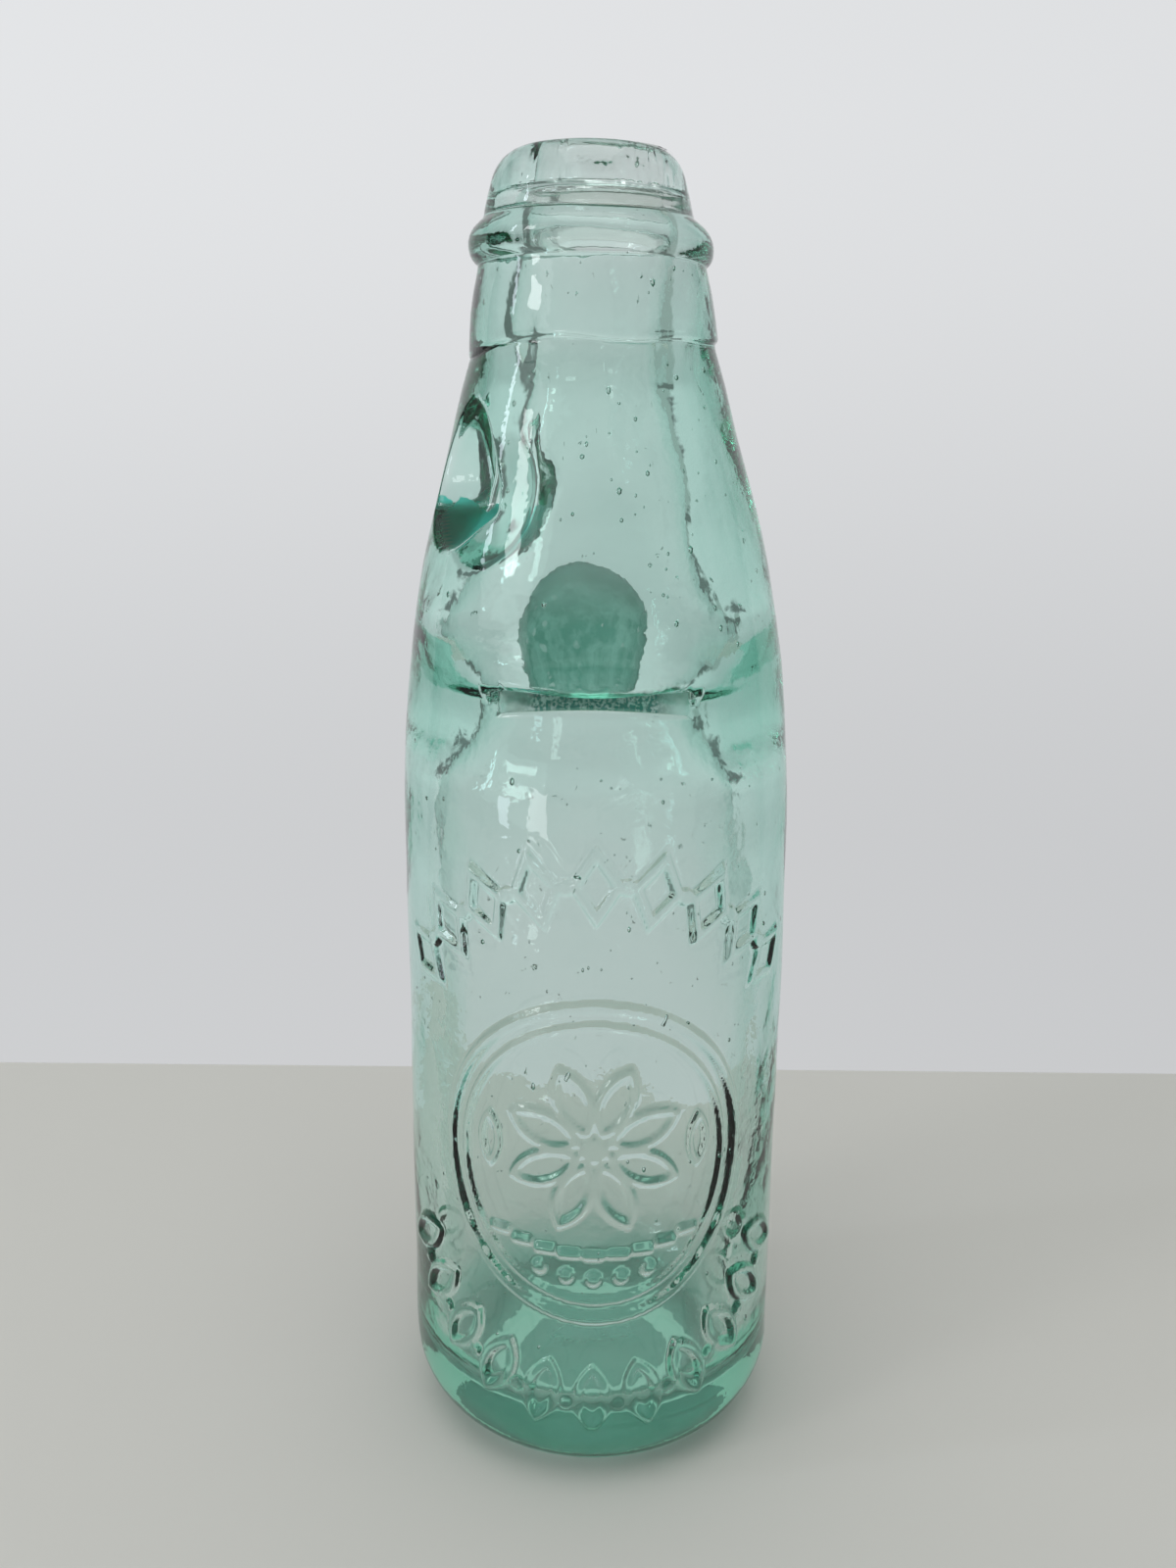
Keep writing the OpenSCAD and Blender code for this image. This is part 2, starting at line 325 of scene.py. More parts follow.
def build_glass():
    rows = []
    a = ANG
    sn, cs = np.sin(a), np.cos(a)

    def ring(r, z, lean=0.0):
        r, z, lean = (np.broadcast_to(np.asarray(x, float), a.shape) for x in (r, z, lean))
        rows.append(np.stack([r * sn + lean, -r * cs, z], -1))

    lean_o = lambda z: spline(OUT_LEAN, z)
    lean_i = lambda z: spline(IN_LEAN, z)

    # base: shallow hollow, resting ring, heel
    for r in np.linspace(1.2, 14.0, 12):
        ring(r, 2.0 * 0.5 * (1 + math.cos(math.pi * r / 14.4)), 0.12)
    for r in (14.4, 15.4, 17.5, 19.2):
        ring(r, 0.0, 0.12)
    for t in np.linspace(4, 88, 24):
        t = math.radians(t)
        ring(19.5 + 13 * math.sin(t), 13 - 13 * math.cos(t), 0.12)
    # wall, up to the slit
    slot_span = 3.4
    for z in np.concatenate([np.arange(13.2, 94, 0.5), np.arange(94, 115.8, 0.36), np.arange(116, SLOT_Z - slot_span - 0.3, 0.8)]):
        ring(outer_radius(a, z), z, lean_o(z))

    # the slit: each column runs in along its lower side and out along its upper one
    n = 26
    r_wall = outer_radius(a, SLOT_Z, False)
    turn = np.where(cs >= 0, SLOT_TURN, -SLOT_TURN)
    xw = r_wall * np.sin(a - turn)
    depth = np.abs(r_wall * np.cos(a - turn)) - SLOT_PLANE
    cut = smoothstep(-0.15, 0.45, depth)  # 1 where the slit is
    w = np.clip(np.abs(xw) / 14.8, 0, 1)
    half = 0.85 + 1.35 * w**1.8
    wr = Waves(21, 26, 3.2, 31.0, 0.6)
    wr2 = Waves(22, 20, 6.0, 31.0, 0.6)
    torn = {}
    for i in range(2 * n + 1):
        s = i / n - 1.0
        t = 1 - abs(s)  # 0 at the mouth, 1 at the bottom
        sign = -1 if s < 0 else 1
        z_plain = SLOT_Z + s * slot_span
        if t < 0.25:  # wall beside the mouth, with a rounded edge
            f = t / 0.25
            lip = smoothstep(0.55, 1.0, f)
            z_cut = SLOT_Z + sign * (slot_span + (half + 0.25 - slot_span) * f - 0.25 * lip)
            inward = 0.28 * lip**2
            g = 0.0
        else:
            tt = (t - 0.25) / 0.75
            g = min(1.0, tt / 0.62)
            inward = 0.28 * (1 - g)
            if tt <= 0.62:
                z_cut = SLOT_Z + sign * half * (1 - 0.10 * g) - 0.35 * g
            else:
                ph = (tt - 0.62) / 0.38 * math.pi / 2
                z_cut = SLOT_Z + sign * half * 0.9 * math.cos(ph) - 0.35
        z = mix(z_plain, z_cut, cut)
        r = outer_radius(a, np.clip(z, SLOT_Z - slot_span, SLOT_Z + slot_span), False)
        x0, y0 = r * sn, r * np.abs(cs)
        rough = (0.05 * wr(a, z * 1.0) + 0.09 * wr2(a, z)) * cut * smoothstep(0.5, 1.0, g)
        y_in = y0 - inward * cut - g * np.maximum(depth, 0) * cut + rough
        torn[len(rows)] = cut * (1.0 if g >= 1.0 else 0.0)
        rows.append(np.stack([x0 + lean_o(SLOT_Z), SIDE * y_in, z], -1))
    # shoulder
    for z in np.arange(SLOT_Z + slot_span + 0.6, 185.2, 0.5):
        ring(outer_radius(a, z), z, lean_o(z))
    outside_rows = len(rows)
    # the lip glass: a soft step below that droops on the left, collar, top
    droop = 2.6 * np.exp(-(((a + 1.25) / 0.42) ** 2)) + 0.35 * np.sin(a * 3 + 0.6) + 0.2 * np.sin(a * 7)
    band = [
        (185.55, 19.0), (185.8, 19.05), (185.95, 19.28), (186.15, 19.42), (186.5, 19.5), (187.0, 19.46),
        (187.8, 19.4), (189.0, 19.28), (190.5, 19.1), (192.0, 18.85), (193.5, 18.6),
        (195.0, 18.25), (196.2, 17.98), (197.0, 17.8), (197.45, 17.72), (197.62, 17.72), (197.72, 17.86),
        (197.9, 18.08), (198.3, 18.45), (198.9, 18.75), (199.6, 18.92), (200.3, 18.97),
        (201.0, 18.9), (201.7, 18.68), (202.4, 18.3), (203.0, 17.8), (203.5, 17.25),
        (203.9, 16.75), (204.2, 16.42), (204.6, 16.2), (205.2, 16.05), (206.0, 15.88),
        (207.0, 15.65), (208.0, 15.42), (209.0, 15.18), (210.0, 14.92), (210.9, 14.6),
        (211.7, 14.2), (212.4, 13.7), (213.0, 13.1), (213.5, 12.45), (213.8, 11.85), (213.9, 11.4),
    ]
    for z, r in band:
        zz = z - droop * smoothstep(191, 186, z)
        ring(r + 0.09 * wob_out(a, z) + 0.05 * wob_out2(a, z), zz, lean_o(z))
    # over the lip, down the mouth, round the ring groove
    inner_lip = [
        (213.75, 11.05), (213.3, 10.75), (212.6, 10.6), (211.8, 10.62), (211.0, 10.72), (210.0, 10.84), (209.0, 10.93),
        (208.2, 10.98), (207.75, 11.02), (207.5, 11.2), (207.38, 11.6), (207.34, 12.1), (207.3, 12.5), (207.2, 12.8),
        (206.9, 13.0), (206.2, 13.08), (205.2, 13.1), (204.2, 13.06), (203.5, 12.98), (203.1, 12.75), (202.92, 12.45),
        (202.86, 12.0), (202.84, 11.75), (202.7, 11.52), (202.3, 11.45),
    ]
    crease = Waves(31, 30, 2.2, 11.0, 0.6, 1.8)
    creased = smoothstep(0.12, 0.25, a) * smoothstep(1.05, 0.75, a)
    creased = np.maximum(creased, 0.8 * smoothstep(-0.62, -0.56, a) * smoothstep(-0.40, -0.46, a))
    creased = np.maximum(creased, 0.12)
    for z, r in inner_lip:
        fine = 0.085 * crease(a, z) * creased * smoothstep(206.5, 208.0, z) * smoothstep(213.8, 212.6, z)
        ring(r + 0.05 * wob_in2(a, z) * (1 if r < 11.4 else 0.4) + fine, z, lean_i(z))
    # neck and chamber, down to the ledges
    (f1, f1z), (f2, f2z), rho = TOP_FILLET, BOTTOM_FILLET, NOSE_RAD
    z_top = NOSE_Z + rho + f1z + LEDGE_RISE
    z_bot = NOSE_Z - rho - 0.25 - f2z + 0.5 * LEDGE_RISE
    for z in np.concatenate([np.arange(201.6, 150.0, -0.8), np.arange(150.0, z_top + 0.2, -0.5)]):
        ring(inner_radius(a, z), z, lean_i(z))
    # the two ledges
    steps = shelf_rows()
    m = len(steps)
    r_c = inner_radius(a, NOSE_Z)
    full = r_c * np.abs(cs) - NOSE_TIP  # length of the ledge at each column
    full = full * smoothstep(LEDGE_FADE[1], LEDGE_FADE[0], np.abs(r_c * sn))
    l_min = f1 + rho + 0.6
    L = np.maximum(full, l_min)
    scale = np.clip(full / l_min, 0, 1)
    on = smoothstep(0.0, l_min, full)
    top, bot = NOSE_Z + rho, NOSE_Z - rho
    bot_wall = bot - np.maximum(L - rho - f2, 0) * math.tan(math.radians(0.6))
    for i, (kind, p) in enumerate(steps):
        if kind == "fillet_top":
            q = f1 * (1 - math.cos(p)) + 0 * L
            z = top + f1z * (1 - math.sin(p)) + 0 * L
        elif kind == "top":
            q = mix(f1, L - rho, p)
            z = top + 0 * L
        elif kind == "nose":
            q = L - rho + rho * math.cos(p)
            z = NOSE_Z + rho * math.sin(p) + 0 * L
        elif kind == "bottom":
            q = mix(L - rho, f2, p)
            z = mix(bot + 0 * L, bot_wall, p)
        else:
            q = f2 * (1 - math.cos(p)) + 0 * L
            z = bot_wall - f2z * (1 - math.sin(p))
        z = z + LEDGE_RISE * (1 - np.clip(q / np.maximum(L - rho, 0.1), 0, 1)) * (1 if i < m - 1 else 0.6)
        z = mix(mix(z_top, z_bot, i / (m - 1)), z, on)
        r_here = inner_radius(a, z)
        g = np.clip(q * scale / np.maximum(full, 1e-3), 0, 1) * (full > 0)
        y = mix(r_here * np.abs(cs), r_c * np.abs(cs) - full, g) + 0.10 * wob_in(a, z) * g
        rows.append(np.stack([r_here * sn + lean_i(z), SIDE * y, z], -1))
    # body, down to the floor
    for z in np.concatenate([np.arange(z_bot - 0.6, 112.0, -0.6), np.arange(112.0, 19.5, -1.5)]):
        ring(inner_radius(a, z), z, lean_i(z))
    for t in np.linspace(2, 86, 18):
        t = math.radians(t)
        ring(17.1 + 10 * math.cos(t), 19.0 - 9.6 * math.sin(t), 0.0)
    for r in np.linspace(16.2, 1.0, 12):
        ring(r, 9.4 - 0.4 * (1 - (r / 17.1) ** 2), 0.0)

    V = np.concatenate(rows)
    nr = len(rows)
    # how far each outside point lies below the plain shoulder: 1 in the dimples
    x, y, z = V.T
    plain = spline(OUT_R, z) - 0.35
    hollow = np.clip(plain - np.hypot(x - spline(OUT_LEAN, z), y), 0, 1) * (np.arange(len(V)) < outside_rows * NA)
    hollow = np.append(hollow * ((z > 150.5) & (z < 180.5)), [0, 0])
    slit = np.zeros(len(V) + 2)
    for k, share in torn.items():
        slit[k * NA:(k + 1) * NA] = share
    c0 = len(V)
    V = np.concatenate([V, [[0.12, 0, 2.0], [0, 0, 9.0]]])
    idx = np.arange(nr * NA).reshape(nr, NA)
    nxt = np.roll(idx, -1, axis=1)
    quads = np.stack([idx[:-1], nxt[:-1], nxt[1:], idx[1:]], -1).reshape(-1, 4)
    faces = [tuple(q) for q in quads]
    for j in range(NA):
        k = (j + 1) % NA
        faces.append((c0, int(idx[0, k]), int(idx[0, j])))
        faces.append((c0 + 1, int(idx[-1, j]), int(idx[-1, k])))
    return V, faces, hollow, slit


def unit_ball(level):
    bm = bmesh.new()
    bmesh.ops.create_icosphere(bm, subdivisions=level, radius=1.0)
    pv = np.array([v.co[:] for v in bm.verts])
    pf = [tuple(v.index for v in f.verts) for f in bm.faces]
    bm.free()
    return pv, pf


BUBBLES = [
    (6.3, 165.4), (8.8, 163.9), (21.0, 167.6), (20.7, 166.3), (6.7, 171.8), (18.8, 161.4), (24.9, 155.0), (26.2, 152.4),
    (21.1, 121.8), (19.6, 119.0), (36.6, 121.4), (2.1, 122.2), (-8.0, 118.5), (-24.6, 121.4), (17.7, 93.8), (10.3, 91.6),
    (14.7, 86.8), (28.0, 82.5), (-5.5, 106.0), (8.8, 102.1), (-14.1, 89.0), (29.0, 101.0), (39.8, 107.9), (0.9, 71.3),
    (14.8, 58.9), (-13.9, 48.3), (29.8, 59.0), (10.9, 176.2), (17.1, 174.1), (-5.4, 168.5), (28.1, 144.6), (25.1, 148.6),
]


def seeds(n, seed):
    """Small bubbles inside the wall: closed skins that face into the bubble."""
    r_ = np.random.default_rng(seed)
    pv, pf = unit_ball(1)
    verts, faces, off = [], [], 0
    for i in range(n + len(BUBBLES)):
        z = r_.uniform(22, 198)
        aa = r_.uniform(-math.pi, math.pi)
        if i >= n:
            aa, z = math.radians(BUBBLES[i - n][0]), BUBBLES[i - n][1]
        ro = float(outer_radius(aa, z))
        ri = float(inner_radius(aa, z))
        rr = 0.13 + 0.30 * r_.random() ** 2.2
        share = r_.uniform(0.3, 0.75)
        tall = r_.uniform(1.0, 1.9)
        if ro - ri < 3.0 or 124 < z < 140 or 183 < z < 191:
            continue
        r = ri + (ro - ri) * share
        lean = 0.5 * (float(spline(IN_LEAN, z)) + float(spline(OUT_LEAN, z)))
        verts.append(pv * np.array([rr, rr, rr * tall]) + np.array([r * math.sin(aa) + lean, -r * math.cos(aa), z]))
        faces += [tuple(i + off for i in reversed(f)) for f in pf]
        off += len(pv)
    return np.concatenate(verts), faces


V, F, hollow, slit = build_glass()
SV, SF = seeds(420, 1872)
n0 = len(V)
V = np.concatenate([V, SV])
F = F + [tuple(i + n0 for i in f) for f in SF]
glass = make_mesh("bottle_glass", V, F)
for name, share in (("hollow", hollow), ("slit", slit)):
    mark = glass.data.attributes.new(name, "FLOAT", "POINT")
    mark.data.foreach_set("value", np.append(share, np.zeros(len(SV))).astype(np.float32))

# ------------------------------------------------------------------ marble


def build_ball(centre, r, seed):
    g = np.random.default_rng(seed)
    pv, pf = unit_ball(6)
    rad = np.full(len(pv), r)
    for _ in range(110):
        d = g.normal(size=3)
        d /= np.linalg.norm(d)
        w, h = g.uniform(0.025, 0.07), g.uniform(0.04, 0.16)
        c = np.arccos(np.clip(pv @ d, -1, 1))
        rad -= h * np.exp(-((c / w) ** 2))
    return pv * rad[:, None] + np.asarray(centre), pf


mlo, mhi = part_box("marble")
mc = [(mlo[i] + mhi[i]) / 2 / MM for i in range(3)]
mr = (mhi[2] - mlo[2]) / 2 / MM
ball = make_mesh("marble_ball", *build_ball(mc, mr, 7))

# ------------------------------------------------------------------ ring


def build_ring():
    lo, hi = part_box("sealing_ring")
    z0, z1 = lo[2] / MM, hi[2] / MM
    x1 = hi[0] / MM
    x0 = 8.3
    na = 160
    prof = []
    for c, d, e, a0, a1, k in (
        (x0 + 1.6, z0 + 1.6, 1.6, 180, 270, 8), (x1 - 0.6, z0 + 0.6, 0.6, 270, 360, 5),
        (x1 - 0.6, z1 - 0.6, 0.6, 0, 90, 5), (x0 + 1.6, z1 - 1.6, 1.6, 90, 180, 8),
    ):
        for t in np.radians(np.linspace(a0, a1, k)):
            prof.append((c + e * math.cos(t), d + e * math.sin(t)))
    ang = np.arange(na) * 2 * math.pi / na
    P = np.concatenate([np.stack([r * np.sin(ang), -r * np.cos(ang), np.full(na, z)], -1) for r, z in prof])
    m = len(prof)
    f = []
    for i in range(m):
        j = (i + 1) % m
        for k in range(na):
            l = (k + 1) % na
            f.append((i * na + k, i * na + l, j * na + l, j * na + k))
    return P, f


ring_ob = make_mesh("seal_ring", *build_ring())

# ------------------------------------------------------------------ materials


def new_mat(name):
    m = bpy.data.materials.new(name)
    m.use_nodes = True
    nt = m.node_tree
    nt.nodes.clear()
    return m, nt, nt.nodes.new("ShaderNodeOutputMaterial")


def add_bump(nt, p, scale, strength, distance, detail=3.0):
    tc = nt.nodes.new("ShaderNodeTexCoord")
    n = nt.nodes.new("ShaderNodeTexNoise")
    n.inputs["Scale"].default_value = scale
    n.inputs["Detail"].default_value = detail
    b = nt.nodes.new("ShaderNodeBump")
    b.inputs["Strength"].default_value = strength
    b.inputs["Distance"].default_value = distance
    nt.links.new(tc.outputs["Object"], n.inputs["Vector"])
    nt.links.new(n.outputs["Fac"], b.inputs["Height"])
    nt.links.new(b.outputs["Normal"], p.inputs["Normal"])
    return tc, n


def wear(nt, p, tc, n):
    """Fine pits and grain, in patches, on top of the slow ripple."""
    fine = nt.nodes.new("ShaderNodeTexNoise")
    fine.inputs["Scale"].default_value = 1300.0
    fine.inputs["Detail"].default_value = 2.0
    patch = nt.nodes.new("ShaderNodeTexNoise")
    patch.inputs["Scale"].default_value = 75.0
    patch.inputs["Detail"].default_value = 3.0
    where = nt.nodes.new("ShaderNodeMapRange")
    for k, v in zip(("From Min", "From Max", "To Min", "To Max"), (0.42, 0.66, 0.0, 0.085)):
        where.inputs[k].default_value = v
    add = nt.nodes.new("ShaderNodeMath")
    add.operation = "MULTIPLY_ADD"
    nt.links.new(tc.outputs["Object"], fine.inputs["Vector"])
    nt.links.new(tc.outputs["Object"], patch.inputs["Vector"])
    nt.links.new(patch.outputs["Fac"], where.inputs["Value"])
    nt.links.new(fine.outputs["Fac"], add.inputs[0])
    nt.links.new(where.outputs["Result"], add.inputs[1])
    nt.links.new(n.outputs["Fac"], add.inputs[2])
    bump = p.inputs["Normal"].links[0].from_node
    nt.links.new(add.outputs[0], bump.inputs["Height"])


def absorb(nt, out, per_mm):
    """Volume absorption from the share of red, green and blue lost per millimetre."""
    d = max(per_mm) * 1000 * 1.02
    v = nt.nodes.new("ShaderNodeVolumeAbsorption")
    v.inputs["Color"].default_value = (*(1 - k * 1000 / d for k in per_mm), 1)
    v.inputs["Density"].default_value = d
    nt.links.new(v.outputs[0], out.inputs["Volume"])


def glass_material():
    m, nt, out = new_mat("aqua_glass")
    p = nt.nodes.new("ShaderNodeBsdfPrincipled")
    p.inputs["Base Color"].default_value = (0.987, 0.99, 0.987, 1)
    p.inputs["Roughness"].default_value = 0.0
    p.inputs["IOR"].default_value = 1.5
    p.inputs["Transmission Weight"].default_value = 1.0
    nt.links.new(p.outputs[0], out.inputs["Surface"])
    absorb(nt, out, (0.026, 0.0092, 0.0135))
    tc, n = add_bump(nt, p, 190.0, 0.30, 0.0004)
    wear(nt, p, tc, n)
    # torn, matt glass at the bottom of the two slits
    xyz = nt.nodes.new("ShaderNodeSeparateXYZ")
    nt.links.new(tc.outputs["Object"], xyz.inputs[0])

    def band(src, centre, half, soft):
        d = nt.nodes.new("ShaderNodeMath")
        d.operation = "SUBTRACT"
        nt.links.new(src, d.inputs[0])
        d.inputs[1].default_value = centre * MM
        e = nt.nodes.new("ShaderNodeMath")
        e.operation = "ABSOLUTE"
        nt.links.new(d.outputs[0], e.inputs[0])
        f = nt.nodes.new("ShaderNodeMapRange")
        for k, v in zip(("From Min", "From Max", "To Min", "To Max"), (half * MM, (half + soft) * MM, 1.0, 0.0)):
            f.inputs[k].default_value = v
        nt.links.new(e.outputs[0], f.inputs["Value"])
        return f.outputs["Result"]

    def product(a, b):
        q = nt.nodes.new("ShaderNodeMath")
        q.operation = "MULTIPLY"
        nt.links.new(a, q.inputs[0])
        if isinstance(b, float):
            q.inputs[1].default_value = b
        else:
            nt.links.new(b, q.inputs[1])
        return q.outputs[0]

    torn = nt.nodes.new("ShaderNodeAttribute")
    torn.attribute_name = "slit"
    slit = product(torn.outputs["Fac"], 1.0)
    # the underside, worn matt by every shelf it has stood on
    worn = band(xyz.outputs["Z"], 0.0, 2.2, 1.2)
    both = nt.nodes.new("ShaderNodeMath")
    both.operation = "MAXIMUM"
    nt.links.new(product(slit, 0.38), both.inputs[0])
    nt.links.new(product(worn, 0.45), both.inputs[1])
    # painted shade: dark green patches in the middle of the slit bottoms
    grain = nt.nodes.new("ShaderNodeTexNoise")
    grain.inputs["Scale"].default_value = 2100.0
    grain.inputs["Detail"].default_value = 3.0
    nt.links.new(tc.outputs["Object"], grain.inputs["Vector"])
    patchy = nt.nodes.new("ShaderNodeMapRange")
    for k, v in zip(("From Min", "From Max", "To Min", "To Max"), (0.38, 0.54, 0.5, 1.0)):
        patchy.inputs[k].default_value = v
    nt.links.new(grain.outputs["Fac"], patchy.inputs["Value"])
    slit_painted_shade = product(product(slit, patchy.outputs["Result"]), band(xyz.outputs["X"], -0.6, 9.0, 3.0))
    tint = nt.nodes.new("ShaderNodeMix")
    tint.data_type = "RGBA"
    tint.inputs["A"].default_value = (0.987, 0.99, 0.987, 1)
    tint.inputs["B"].default_value = (0.012, 0.085, 0.068, 1)
    nt.links.new(slit_painted_shade, tint.inputs["Factor"])

    def ramp(src, a, b, c, d):
        f = nt.nodes.new("ShaderNodeMapRange")
        f.interpolation_type = "SMOOTHSTEP"
        for k, v in zip(("From Min", "From Max", "To Min", "To Max"), (a, b, c, d)):
            f.inputs[k].default_value = v
        nt.links.new(src, f.inputs["Value"])
        return f.outputs["Result"]

    def over(base, factor, col):
        f = nt.nodes.new("ShaderNodeMix")
        f.data_type = "RGBA"
        nt.links.new(base, f.inputs["A"])
        f.inputs["B"].default_value = (*col, 1)
        nt.links.new(factor, f.inputs["Factor"])
        return f.outputs["Result"]

    # the dimples: tinted pale green, with painted shade below: deep green and grainy
    at = nt.nodes.new("ShaderNodeAttribute")
    at.attribute_name = "hollow"
    jag = nt.nodes.new("ShaderNodeMath")
    jag.operation = "MULTIPLY_ADD"
    nt.links.new(n.outputs["Fac"], jag.inputs[0])
    jag.inputs[1].default_value = 0.014
    nt.links.new(xyz.outputs["Z"], jag.inputs[2])
    low = product(at.outputs["Fac"], ramp(jag.outputs[0], 0.1683, 0.1688, 1.0, 0.0))
    # painted shade: deeper green towards the outline, where the glass is seen edge-on
    edge = nt.nodes.new("ShaderNodeLayerWeight")
    edge.inputs["Blend"].default_value = 0.5
    col = over(tint.outputs["Result"], ramp(edge.outputs["Facing"], 0.36, 0.80, 0.0, 1.0), (0.62, 0.84, 0.78))
    # the dimples tinted pale green, and painted shade on their lower part: deep green
    col = over(col, at.outputs["Fac"], (0.84, 0.95, 0.92))
    col = over(col, low, (0.02, 0.66, 0.50))
    # thick glass round the base looks deeper
    col = over(col, ramp(xyz.outputs["Z"], 0.0035, 0.0200, 1.0, 0.0), (0.43, 0.79, 0.70))
    nt.links.new(col, p.inputs["Base Color"])
    rough_max = nt.nodes.new("ShaderNodeMath")
    rough_max.operation = "MAXIMUM"
    nt.links.new(both.outputs[0], rough_max.inputs[0])
    nt.links.new(product(low, 0.5), rough_max.inputs[1])
    nt.links.new(rough_max.outputs[0], p.inputs["Roughness"])
    return m


def marble_material():
    m, nt, out = new_mat("marble_glass")
    p = nt.nodes.new("ShaderNodeBsdfPrincipled")
    p.inputs["IOR"].default_value = 1.36
    p.inputs["Transmission Weight"].default_value = 0.80
    nt.links.new(p.outputs[0], out.inputs["Surface"])
    tc, n = add_bump(nt, p, 420.0, 0.30, 0.0005)
    rough = nt.nodes.new("ShaderNodeMapRange")
    rough.inputs["To Min"].default_value = 0.28
    rough.inputs["To Max"].default_value = 0.55
    nt.links.new(n.outputs["Fac"], rough.inputs["Value"])
    nt.links.new(rough.outputs["Result"], p.inputs["Roughness"])
    # cloudy skin
    cloud = nt.nodes.new("ShaderNodeTexNoise")
    cloud.inputs["Scale"].default_value = 380.0
    cloud.inputs["Detail"].default_value = 5.0
    cloud.inputs["Roughness"].default_value = 0.62
    nt.links.new(tc.outputs["Object"], cloud.inputs["Vector"])
    tint = nt.nodes.new("ShaderNodeValToRGB")
    e = tint.color_ramp.elements
    e[0].position, e[0].color = 0.41, (0.13, 0.42, 0.33, 1)
    e[1].position, e[1].color = 0.60, (0.46, 0.78, 0.69, 1)
    nt.links.new(cloud.outputs["Fac"], tint.inputs["Fac"])
    # pinhead bubbles just under it, drawn as painted glints: white specks
    cells = nt.nodes.new("ShaderNodeTexVoronoi")
    cells.inputs["Scale"].default_value = 430.0
    nt.links.new(tc.outputs["Object"], cells.inputs["Vector"])
    near = nt.nodes.new("ShaderNodeMapRange")
    for k, v in zip(("From Min", "From Max", "To Min", "To Max"), (0.12, 0.24, 1.0, 0.0)):
        near.inputs[k].default_value = v
    nt.links.new(cells.outputs["Distance"], near.inputs["Value"])
    pick = nt.nodes.new("ShaderNodeMath")
    pick.operation = "GREATER_THAN"
    pick.inputs[1].default_value = 0.35
    nt.links.new(cells.outputs["Color"], pick.inputs[0])
    both = nt.nodes.new("ShaderNodeMath")
    both.operation = "MULTIPLY"
    nt.links.new(near.outputs["Result"], both.inputs[0])
    nt.links.new(pick.outputs[0], both.inputs[1])
    bubble_glint_mix = nt.nodes.new("ShaderNodeMix")
    bubble_glint_mix.data_type = "RGBA"
    bubble_glint_mix.inputs["B"].default_value = (0.95, 1.0, 0.98, 1)
    nt.links.new(both.outputs[0], bubble_glint_mix.inputs["Factor"])
    # it takes more light from above
    xyz = nt.nodes.new("ShaderNodeSeparateXYZ")
    nt.links.new(tc.outputs["Object"], xyz.inputs[0])
    top = nt.nodes.new("ShaderNodeMapRange")
    top.interpolation_type = "SMOOTHSTEP"
    for k, v in zip(("From Min", "From Max", "To Min", "To Max"), (0.1415, 0.1500, 0.0, 1.0)):
        top.inputs[k].default_value = v
    nt.links.new(xyz.outputs["Z"], top.inputs["Value"])
    paler = nt.nodes.new("ShaderNodeMix")
    paler.data_type = "RGBA"
    paler.inputs["B"].default_value = (0.92, 1.0, 0.98, 1)
    nt.links.new(top.outputs["Result"], paler.inputs["Factor"])
    nt.links.new(tint.outputs["Color"], paler.inputs["A"])
    nt.links.new(paler.outputs["Result"], bubble_glint_mix.inputs["A"])
    nt.links.new(bubble_glint_mix.outputs["Result"], p.inputs["Base Color"])
    return m


def rubber_material():
    m, nt, out = new_mat("pale_rubber")
    p = nt.nodes.new("ShaderNodeBsdfPrincipled")
    p.inputs["Base Color"].default_value = (0.95, 0.97, 0.95, 1)
    p.inputs["Roughness"].default_value = 0.08
    p.inputs["IOR"].default_value = 1.38
    p.inputs["Transmission Weight"].default_value = 0.97
    nt.links.new(p.outputs[0], out.inputs["Surface"])
    add_bump(nt, p, 600.0, 0.2, 0.0003)
    return m


for ob, mt in ((glass, glass_material()), (ball, marble_material()), (ring_ob, rubber_material())):
    ob.data.materials.append(mt)

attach(glass, "bottle")
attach(ring_ob, "bottle")
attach(ball, "marble")
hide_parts("bottle_body", "lip_finish")
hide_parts("sealing_ring")
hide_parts("marble")

# ------------------------------------------------------------------ stage: a pale table top in a pale room


def matte(name, col):
    m, nt, out = new_mat(name)
    d = nt.nodes.new("ShaderNodeBsdfDiffuse")
    d.inputs["Color"].default_value = (*col, 1)
    nt.links.new(d.outputs[0], out.inputs["Surface"])
    return m


me = bpy.data.meshes.new("table_top")
x0, x1, y0, y1, t = -0.8, 0.8, -0.8, 0.1275, 0.02
me.from_pydata(
    [(x0, y0, 0), (x1, y0, 0), (x1, y1, 0), (x0, y1, 0), (x0, y0, -t), (x1, y0, -t), (x1, y1, -t), (x0, y1, -t)],
    [], [(0, 1, 2, 3), (7, 6, 5, 4), (0, 4, 5, 1), (1, 5, 6, 2), (2, 6, 7, 3), (3, 7, 4, 0)])
table = bpy.data.objects.new("table_top", me)
scene.collection.objects.link(table)
me.materials.append(matte("table_paint", (0.74, 0.715, 0.675)))


